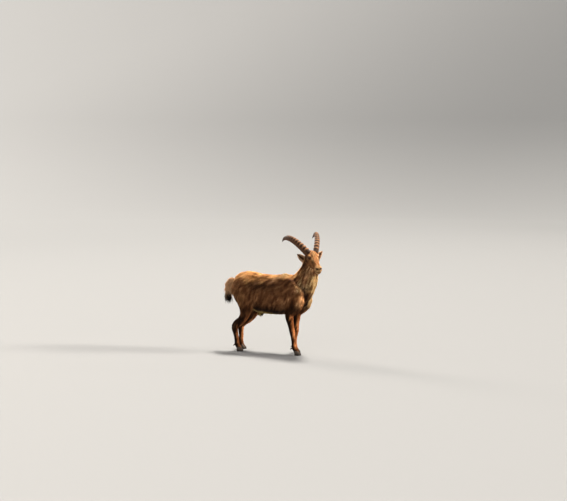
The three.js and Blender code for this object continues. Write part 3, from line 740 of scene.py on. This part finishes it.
def grained(made, scale, strength, distance, source="Object", stretch=(1, 1, 1)):
    """Fine relief from noise on the piece's own coordinates."""
    nodes, links = made.node_tree.nodes, made.node_tree.links
    where = nodes.new("ShaderNodeTexCoord")
    spread = nodes.new("ShaderNodeMapping")
    spread.inputs["Scale"].default_value = stretch
    grain = nodes.new("ShaderNodeTexNoise")
    grain.inputs["Scale"].default_value = scale
    grain.inputs["Detail"].default_value = 4
    bump = nodes.new("ShaderNodeBump")
    bump.inputs["Strength"].default_value = strength
    bump.inputs["Distance"].default_value = distance
    links.new(where.outputs[source], spread.inputs["Vector"])
    links.new(spread.outputs["Vector"], grain.inputs["Vector"])
    links.new(grain.outputs["Fac"], bump.inputs["Height"])
    links.new(bump.outputs["Normal"], nodes["Principled BSDF"].inputs["Normal"])
    return made


FUR = finish_of("fur", 0.62, 0.07)
HIDE = grained(finish_of("hide", 0.8, 0.08), 160, 0.6, 0.0015)
HORN = grained(finish_of("horn", 0.6, 0.12), 1, 0.45, 0.0012, "UV", (170, 7, 1))
HOOF = grained(finish_of("hoof", 0.55, 0.4), 300, 0.3, 0.0006, stretch=(0.4, 0.4, 2.5))
EYEBALL = finish_of("eyeball", 0.10, 0.25, coat=0.10)

SKIN_SHADE = 0.85  # the skin shows between the hairs, so it is darker than they are
paint(SKIN, "markings_and_painted_light", COLOUR * SKIN_SHADE)
skin = show("skin", SKIN)
SKIN.materials.clear()
SKIN.materials.append(HIDE)
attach(skin, "root")
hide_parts(*FLESH)


# The coat's own map: an unwrap of a plain copy of the skin
MAP_FACES = 7000


def unwrapped_copy():
    block = show("unwrap", SKIN.copy())
    thin = block.modifiers.new("Thin", "DECIMATE")
    thin.ratio = MAP_FACES / len(SKIN.polygons)
    block = show("unwrap_plain", applied(block))
    bpy.context.view_layer.objects.active = block
    for other in bpy.context.selected_objects:
        other.select_set(False)
    block.select_set(True)
    bpy.ops.object.mode_set(mode="EDIT")
    bpy.ops.mesh.select_all(action="SELECT")
    bpy.ops.uv.smart_project(angle_limit=math.radians(66), island_margin=0.004)
    bpy.ops.object.mode_set(mode="OBJECT")
    mesh = block.data.copy()
    bpy.data.objects.remove(block)
    return mesh


def root_uvs(roots):
    plain = unwrapped_copy()
    corners = coords(plain)
    faces = [list(p.vertices) for p in plain.polygons]
    uv = np.empty(len(plain.loops) * 2, np.float32)
    plain.uv_layers.active.data.foreach_get("uv", uv)
    uv = uv.reshape(-1, 2)
    starts = [p.loop_start for p in plain.polygons]
    tree = BVHTree.FromPolygons([Vector(c) for c in corners], faces)
    face = np.array([tree.find_nearest(Vector(r))[2] for r in roots])
    loops = np.array(starts)[face][:, None] + np.arange(3)
    tri = corners[np.array([f[:3] for f in faces])[face]]
    a, b, c = tri[:, 0], tri[:, 1], tri[:, 2]
    n = np.cross(b - a, c - a)
    area = np.maximum((n * n).sum(1), 1e-18)
    share_b = (np.cross(roots - a, c - a) * n).sum(1) / area
    share_c = (np.cross(b - a, roots - a) * n).sum(1) / area
    w = np.clip(np.stack([1 - share_b - share_c, share_b, share_c], 1), 0, 1)
    w /= w.sum(1, keepdims=True)
    return (uv[loops] * w[:, :, None]).sum(1)


# Tufts

HARD = [n for n in NODES if n.startswith(("horn", "hoof", "dewclaw", "eye"))]
HARD_TREE, _ = tree_of(HARD)
TRIANGLES = np.array([list(p.vertices)[:3] for p in SKIN.polygons])


def spread_key(points):
    """The order of points along a path that keeps near ones together."""
    cell = ((points - points.min(0)) / 0.004).astype(np.int64)
    key = np.zeros(len(points), np.int64)
    for bit in range(10):
        for axis in range(3):
            key |= ((cell[:, axis] >> bit) & 1) << (3 * bit + axis)
    return key


def roots_on_skin(count, density):
    """Even places on the skin: which triangle each is in, and its shares of the corners."""
    a, b, c = (AT[TRIANGLES[:, k]] for k in range(3))
    area = np.linalg.norm(np.cross(b - a, c - a), axis=1) / 2
    order = np.argsort(spread_key((a + b + c) / 3))
    weight = (area * density[TRIANGLES].mean(1))[order]
    total = np.cumsum(weight)
    picks = (np.arange(count) + rng.random(count)) / count * total[-1]
    chosen = order[np.minimum(np.searchsorted(total, picks), len(order) - 1)]
    u, v = rng.random(count), rng.random(count)
    over = u + v > 1
    u[over], v[over] = 1 - u[over], 1 - v[over]
    return chosen, np.stack([1 - u - v, u, v], 1)


class Hair:
    """Roots of tufts, with what the skin says at each."""

    def __init__(self, count, density):
        tri, w = roots_on_skin(count, density)
        at = lambda values: (values[TRIANGLES[tri]] * w[..., None]).sum(1)
        self.root, self.normal, self.share = at(AT), unit(at(NORMAL)), at(SHARE)
        bare = np.array([HARD_TREE.find_nearest(Vector(r))[3] < 0.0016 for r in self.root])
        half = mirrored(to_head(self.root))
        bare |= (np.abs(half[:, 2] - lip_line(half)) < 2.6) & (half[:, 0] > 192) & (half[:, 0] < 275)
        bare |= near(half, [254, 18, -5], [9, 7, 6]) > 0.4
        for name in ("root", "normal", "share"):
            setattr(self, name, getattr(self, name)[~bare])
        self.lie = lie_of(self.root, self.normal, self.share)
        self.length = length_of(self.root, self.normal, self.share)
        self.colour = colour_of(self.root, self.normal, self.share)
        self.stand = stand_of(self.root)


def tufts(name, hair, uv, rings, width, lift, sag, shade_at_root, clump=9):
    """One mesh of thin tapered tufts, three-sided, that leave the skin, bend over and lie along it."""
    n = len(hair.root)
    length = hair.length * rng.uniform(0.75, 1.2, n)
    stray = (rng.normal(0, 0.13, n) * (1 + 1.6 * hair.share[:, 6]))[:, None]
    side = np.cross(hair.normal, hair.lie)
    lie = unit(hair.lie + side * stray)
    side = unit(np.cross(hair.normal, lie))
    reach = lie * length[:, None]
    # neighbours draw together at their tips
    group = np.arange(n) // clump
    tips = hair.root + reach
    mean = np.stack([np.bincount(group, tips[:, k]) / np.bincount(group) for k in range(3)], 1)[group]
    draw = (mean - tips) * 0.5
    limit = np.minimum(1, 0.012 * clump ** 1.5 * length / np.maximum(np.linalg.norm(draw, axis=1), 1e-9))
    reach = reach + draw * limit[:, None]
    rise = lift * hair.stand * rng.uniform(0.7, 1.35, n) * length
    sink = np.minimum(0.002, 0.15 * length)
    wide = width * rng.uniform(0.75, 1.25, n)
    steps = {2: [0, 0.5], 3: [0, 0.35, 0.72]}[rings]
    swell = {2: [0.8, 0.8], 3: [0.75, 1.0, 0.62]}[rings]
    corners = np.empty((n, rings * 3 + 1, 3))
    down = np.array([0, 0, -1.0])
    for k, t in enumerate([*steps, 1.0]):
        height = rise * (1.9 * t - 1.15 * t * t) - sink * (1 - t) ** 2
        fall = (sag * length * t * t)[:, None]
        centre = hair.root + reach * t + hair.normal * height[:, None] + down * fall
        if k == rings:
            corners[:, -1] = centre
            continue
        half = (wide * swell[k] / 2)[:, None]
        corners[:, 3 * k] = centre - side * half
        corners[:, 3 * k + 1] = centre + side * half
        corners[:, 3 * k + 2] = centre + hair.normal * half * 0.8
    faces = [[0, 2, 1]]
    for k in range(rings - 1):
        for a, b in ((0, 1), (1, 2), (2, 0)):
            p, q = 3 * k + a, 3 * k + b
            faces += [[p, q, q + 3], [p, q + 3, p + 3]]
    last = 3 * (rings - 1)
    tip = rings * 3
    faces += [[last + a, last + b, tip] for a, b in ((0, 1), (1, 2), (2, 0))]
    faces = np.array(faces)
    per = rings * 3 + 1
    index = (faces[None] + (np.arange(n) * per)[:, None, None]).reshape(-1, 3)
    mesh = bpy.data.meshes.new(name)
    mesh.vertices.add(n * per)
    mesh.vertices.foreach_set("co", corners.astype(np.float32).ravel())
    mesh.loops.add(index.size)
    mesh.loops.foreach_set("vertex_index", index.ravel().astype(np.int32))
    mesh.polygons.add(len(index))
    mesh.polygons.foreach_set("loop_start", np.arange(0, index.size, 3, dtype=np.int32))
    mesh.update(calc_edges=True)
    # darker at the root than at the tip, each tuft a shade of its own
    own = (rng.normal(0, 0.15, n) + rng.normal(0, 0.13, group[-1] + 1)[group]) * (1 - 0.5 * hair.share[:, 2])
    own = np.exp(own)[:, None, None]
    shade = np.array([v for k in range(rings) for v in [lerp(shade_at_root, 1, steps[k])] * 3] + [1.12])
    colours = hair.colour[:, None] * own * shade[None, :, None]
    paint(mesh, "markings_and_painted_light", natural(colours).reshape(-1, 3))
    patch = mesh.uv_layers.new(name="OFBake")
    turn = np.arange(per) / per * 2 * math.pi
    ring = np.stack([np.cos(turn), np.sin(turn)], 1) * 0.0015
    spots = (uv[:, None] + ring[None]).reshape(-1, 2)
    patch.data.foreach_set("uv", spots[index.ravel()].astype(np.float32).ravel())
    mesh.materials.append(FUR)
    piece = show(name, mesh)
    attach(piece, "root")
    print(name, len(index), "triangles")
    return piece


def part_of(hair, keep):
    """Some of the hair, with what the skin says at each."""
    return SimpleNamespace(**{name: values[keep] for name, values in vars(hair).items()})


DENSITY = 1 / np.clip(LENGTH / 0.027, 0.30, 1.5) ** 1.05 * (1 + 2.2 * SHARE[:, 6])
# more along the jaw, where the face's short hair ends, and fewer on the legs
JAW = 1 + 12 * SHARE[:, 1] * SHARE[:, 2]
DENSITY *= JAW * (1 + 0.4 * SHARE[:, 2]) * (1 - 0.2 * SHARE[:, 4:6].sum(1))
MANY = 124000
HAIR = Hair(MANY, DENSITY)
UVS = root_uvs(HAIR.root)
KIND = HAIR.share.argmax(1)
ALONG, ACROSS = (HAIR.root - BODY_AT)[:, :2].T
RUMP_ENDS, BARREL_STARTS = -0.16, 0.08
RUMP_PART, BARREL_PART = ALONG < RUMP_ENDS, ALONG >= BARREL_STARTS
LEG_LOOKS = ("leg_fur", 2, 0.0030, 0.15, 0.0, 0.72)
# Name and which tufts. Then slot, rings, width, how steeply they rise, how far they sag, and the root's shade
COAT_PARTS = [
    ("coat_rump", (KIND == 0) & RUMP_PART, "coat", 2, 0.0034, 0.16, 0.02, 0.62),
    ("coat_flank", (KIND == 0) & ~RUMP_PART & ~BARREL_PART, "coat", 2, 0.0034, 0.15, 0.03, 0.62),
    ("coat_barrel", (KIND == 0) & BARREL_PART, "coat", 2, 0.0034, 0.16, 0.03, 0.62),
    ("coat_neck", KIND == 1, "coat", 3, 0.0036, 0.17, 0.10, 0.62),
    ("coat_face", KIND == 2, "face_fur", 2, 0.0019, 0.12, 0.0, 0.9),
    ("coat_ears", KIND == 3, "ear_fur", 2, 0.0018, 0.20, 0.0, 0.8),
    ("coat_foreleg_L", (KIND == 4) & (ACROSS > 0), *LEG_LOOKS),
    ("coat_foreleg_R", (KIND == 4) & (ACROSS <= 0), *LEG_LOOKS),
    ("coat_hindleg_L", (KIND == 5) & (ACROSS > 0), *LEG_LOOKS),
    ("coat_hindleg_R", (KIND == 5) & (ACROSS <= 0), *LEG_LOOKS),
    ("coat_tail", KIND == 6, "tail_hair", 3, 0.0034, 0.46, 0.16, 0.66),
]
WIDER = 1
for name, keep, slot, rings, width, lift, sag, root in COAT_PARTS:
    clump = 24 if name == "coat_tail" else 9
    some = part_of(HAIR, keep)
    tufts(name, some, UVS[keep], rings, width * WIDER, lift, sag, root, clump)


# Horns

HORN_LENGTH, HORN_DEPTH, HORN_WIDTH, HORN_RIDGES = 0.518, 0.074, 0.054, 10
RIDGE_HEIGHT = 0.0065
RIDGES = []
ridge_at, ROOT_PITCH, TIP_PITCH = 52, 40, 25  # the first ridge's place and the steps between ridges, in mm
for k in range(HORN_RIDGES):
    pitch = ROOT_PITCH + (TIP_PITCH - ROOT_PITCH) * k / (HORN_RIDGES - 1)
    RIDGES.append((ridge_at / 1000, pitch / 1000, 1 - 0.55 * k / (HORN_RIDGES - 1)))
    ridge_at += pitch


def horn_path(side, steps=240):
    points = [from_head([42, 34 * side, 42])]
    for i in range(steps):
        u = (i + 0.5) / steps
        slope = math.radians(44.5 - 84 * u ** 1.8)
        out = math.radians(39.5 - 42 * u)
        flat = math.cos(slope)
        level = [-math.cos(out) * flat, side * math.sin(out) * flat, math.sin(slope)]
        points.append(points[-1] + LEVEL @ level * HORN_LENGTH / steps)
    return np.array(points)


def horn(side, letter):
    path = horn_path(side)
    facts = {}

    def place(t, angle, rim):
        s = t * HORN_LENGTH
        centre = along_rows(t, path)
        ahead = heading(t, path, 0.01)
        level = unit(np.cross(ahead, [0, 0, 1.0]))
        front = np.cross(level, ahead)
        taper = 1 - 0.12 * t - 0.82 * t ** 3.6
        up = np.sin(angle)
        power = np.where(up > 0, 2 / 2.5, 2 / 1.8)
        out = np.sign(np.cos(angle)) * np.abs(np.cos(angle)) ** power * HORN_WIDTH / 2 * taper
        rise = np.sign(up) * np.abs(up) ** power * HORN_DEPTH / 2 * taper
        ridge = np.zeros(len(t))
        wave = 0.09 * noise(np.stack([s / 0.025, angle * 1.6, np.full(len(t), side * 7.0)], 1), 22)
        for at, pitch, proud in RIDGES:
            x = (s - at) / pitch - 0.05 * np.abs(np.cos(angle)) ** 2 + wave
            ridge = np.maximum(ridge, proud * ramp(x, -0.40, -0.12) * (1 - ramp(x, 0.06, 0.34)))
        knob = ridge * np.maximum(0, up) ** 0.6
        rough = noise(np.stack([s / 0.008, angle * 1.4, np.full(len(t), side * 3.0)], 1), 11)
        lines = noise(np.stack([s / 0.0035, angle * 0.5, np.full(len(t), side * 5.0)], 1), 12)
        relief = RIDGE_HEIGHT * knob * (1 + 0.12 * rough) + 0.0010 * rough * taper + 0.0006 * lines * taper
        relief += 0.0012 * ridge * (up < 0.3) * taper
        bulge = 1 + relief / np.maximum(np.hypot(out, rise), 1e-4)
        facts.update(t=t, knob=knob, ridge=ridge, rough=rough, lines=lines, up=up, angle=angle)
        return centre + (rim * bulge * out)[:, None] * level + (rim * bulge * rise)[:, None] * front

    mesh = tube(f"horn_{letter}_shown", 28, 200, place)
    tan, pale, dark, tip = srgb(80, 52, 34), srgb(130, 92, 62), srgb(30, 19, 13), srgb(26, 18, 14)
    f = facts
    # paler knobs and darker hollows on the front: the horn's own tone with painted highlight and shade
    valley_shade = 0.8 * (1 - ramp(f["ridge"], 0.02, 0.4)) * ramp(f["up"], -0.3, 0.5)
    colour = tan + (dark - tan) * valley_shade[:, None]
    colour = colour + (pale - colour) * (0.85 * ramp(f["knob"] + 0.15 * f["rough"], 0.25, 0.65))[:, None]
    colour = colour + (tip - colour) * (0.75 * ramp(f["t"], 0.72, 0.95))[:, None]
    colour = colour * np.exp(0.34 * f["rough"] + 0.34 * f["lines"])[:, None]
    paint(mesh, "markings_and_painted_light", np.clip(colour, 0, 1))
    layer = mesh.uv_layers.new(name="grain")
    spots = np.stack([f["t"], np.abs(f["angle"]) / math.pi], 1)
    index = np.empty(len(mesh.loops), np.int32)
    mesh.loops.foreach_get("vertex_index", index)
    layer.data.foreach_set("uv", spots[index].astype(np.float32).ravel())
    mesh.materials.append(HORN)
    piece = show(f"horn_{letter}_shown", mesh)
    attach(piece, "root")
    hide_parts(f"horn_{letter}")


# Eyes: amber, with a level slot for a pupil
EYE_SIZE = 0.0154


def eye(side, letter):
    centre = from_head(EYE * [1, side, 1])
    bm = bmesh.new()
    bmesh.ops.create_uvsphere(bm, u_segments=128, v_segments=96, radius=14 * HEAD_UNIT * 1.01)
    mesh = bpy.data.meshes.new(f"eye_{letter}_shown")
    bm.to_mesh(mesh)
    bm.free()
    facing = unit(TURN @ [0.36, 0.92 * side, 0.16])
    fore = TURN @ [1, 0, 0] * 0.6 + LEVEL @ [1, 0, 0] * 0.4
    fore = unit(fore - facing * (fore @ facing))
    up = np.cross(facing, fore)
    at = coords(mesh)
    a, b = at @ fore / EYE_SIZE, at @ up / EYE_SIZE
    off = np.hypot(a, b)
    front = at @ facing > 0
    colour = np.tile(srgb(46, 30, 22), (len(at), 1))
    iris = front * (1 - ramp(off, 0.62, 0.70))
    fleck = 0.5 + 0.5 * noise(np.stack([np.arctan2(b, a) * 9, off * 3, 0 * a], 1), 14)
    amber = srgb(104, 60, 24) * (0.75 + 0.35 * fleck)[:, None] * (1.15 - 0.5 * ramp(off, 0.45, 0.7))[:, None]
    colour = colour * (1 - iris)[:, None] + amber * iris[:, None]
    slot = front * (1 - ramp(np.abs(a / 0.44) ** 4 + np.abs(b / 0.20) ** 4, 0.6, 1.5))
    colour = colour + (srgb(6, 5, 5) - colour) * slot[:, None]
    paint(mesh, "markings_and_painted_light", colour)
    bulge = np.where(front, 1 + 0.05 * np.exp(-((off / 0.6) ** 2)), 1)
    move_to(mesh, at * bulge[:, None] + centre)
    mesh.materials.append(EYEBALL)
    piece = show(f"eye_{letter}_shown", mesh)
    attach(piece, "root")
    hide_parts(f"eye_{letter}")


for side, letter in ((1, "L"), (-1, "R")):
    horn(side, letter)
    eye(side, letter)

# Hooves

for node in HARD:
    if not node.startswith(("hoof", "dewclaw")):
        continue
    mesh = merged(node)
    bm = bmesh.new()
    bm.from_mesh(mesh)
    sharp = [e for e in bm.edges if len(e.link_faces) == 2 and e.calc_face_angle() > math.radians(50)]
    bmesh.ops.bevel(bm, geom=sharp, offset=0.0012, segments=2, affect="EDGES", profile=0.5, material=-1)
    bmesh.ops.triangulate(bm, faces=bm.faces)
    bmesh.ops.subdivide_edges(bm, edges=bm.edges, cuts=2, use_grid_fill=True)
    bm.to_mesh(mesh)
    bm.free()
    at = coords(mesh)
    rings = noise(np.stack([at[:, 2] / 0.0035, at[:, 0] / 0.05, at[:, 1] / 0.05], 1), 15)
    shade = srgb(42, 34, 29) + (srgb(76, 62, 50) - srgb(42, 34, 29)) * ramp(at[:, 2], 0.005, 0.04)[:, None]
    paint(mesh, "markings_and_painted_light", shade * np.exp(0.25 * rings)[:, None])
    out = normals(mesh)
    lifted = at + out * (0.0003 * rings * (at[:, 2] > 0.003))[:, None]
    lifted[:, 2] = np.maximum(lifted[:, 2], 0)
    move_to(mesh, lifted)
    mesh.materials.clear()
    mesh.materials.append(HOOF)
    piece = show(node + "_shown", mesh)
    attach(piece, "root")
    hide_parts(node)

# Floor, light and camera

# A round floor that sweeps up far away into a sloping wall, so that no view shows an edge
FLOOR_RADIUS, SWEEP_RADIUS = 30, 12
bm = bmesh.new()
profile = [bm.verts.new((r, 0, 0)) for r in (0, 6, FLOOR_RADIUS)]
for step in range(1, 9):
    bend = math.radians(45) * step / 8
    out, rise = SWEEP_RADIUS * math.sin(bend), SWEEP_RADIUS * (1 - math.cos(bend))
    profile.append(bm.verts.new((FLOOR_RADIUS + out, 0, rise)))
profile.append(bm.verts.new(profile[-1].co + Vector((14, 0, 14))))
line = [bm.edges.new(pair) for pair in zip(profile, profile[1:])]
bmesh.ops.spin(
    bm, geom=profile + line, cent=(0, 0, 0), axis=(0, 0, 1), angle=2 * math.pi, steps=96, use_merge=True)
bmesh.ops.remove_doubles(bm, verts=bm.verts, dist=1e-4)
bmesh.ops.recalc_face_normals(bm, faces=bm.faces)
floor_mesh = bpy.data.meshes.new("floor")
bm.to_mesh(floor_mesh)
bm.free()
floor_mesh.materials.append(finish_of("floor", 0.9, 0.1, colour=srgb(112, 114, 117)))
floor = show("floor", floor_mesh)

VIEW_TURN, VIEW_RISE = math.radians(27), math.radians(4)
RIGHT = np.array([math.cos(VIEW_TURN), math.sin(VIEW_TURN), 0])
TOWARDS = np.array([math.sin(VIEW_TURN) * math.cos(VIEW_RISE), -math.cos(VIEW_TURN) * math.cos(VIEW_RISE),
                    math.sin(VIEW_RISE)])
UPWARDS = np.cross(TOWARDS, RIGHT)
CAMERA_AWAY = 14.2
MM_PER_PIXEL = 10.63
PICTURE_WIDTH = 567
AIM_RIGHT, AIM_UP = 0.1435, 1.079


def sun(name, strength, softness, right, up, towards, tint):
    """Even, soft light from one side, as seen from the camera."""
    data = bpy.data.lights.new(name, "SUN")
    data.energy, data.angle, data.color = strength, math.radians(softness), tint
    made = bpy.data.objects.new(name, data)
    made.rotation_mode = "QUATERNION"
    source = Vector(RIGHT * right + np.array([0, 0, up]) + TOWARDS * [1, 1, 0] * towards)
    made.rotation_quaternion = source.to_track_quat("Z", "Y")
    bpy.context.scene.collection.objects.link(made)


sun("key", 12.0, 10, 1.0, 0.34, 0.14, (1.0, 0.91, 0.79))
sun("rim", 10.0, 12, 0.2, 1.0, -0.34, (1.0, 0.92, 0.80))
sun("edge", 4.0, 14, -0.8, 0.5, -1.0, (1.0, 0.88, 0.76))
sun("fill", 0.6, 40, -0.3, 0.6, 1.0, (1.0, 0.97, 0.93))

world = bpy.data.worlds.new("studio")
world.use_nodes = True
world.node_tree.nodes["Background"].inputs["Color"].default_value = (0.83, 0.82, 0.80, 1)
world.node_tree.nodes["Background"].inputs["Strength"].default_value = 0.40
bpy.context.scene.world = world
bpy.context.scene.view_settings.view_transform = "Standard"

camera_data = bpy.data.cameras.new("camera")
camera_data.sensor_width = 36
camera_data.lens = 36 / (PICTURE_WIDTH * MM_PER_PIXEL / 1000) * CAMERA_AWAY
camera = bpy.data.objects.new("camera", camera_data)
aimed_at = BODY_AT + RIGHT * AIM_RIGHT + UPWARDS * AIM_UP
camera.location = Vector(aimed_at + TOWARDS * CAMERA_AWAY)
camera.rotation_mode = "QUATERNION"
camera.rotation_quaternion = Vector(-TOWARDS).to_track_quat("-Z", "Y")
bpy.context.scene.collection.objects.link(camera)
bpy.context.scene.camera = camera
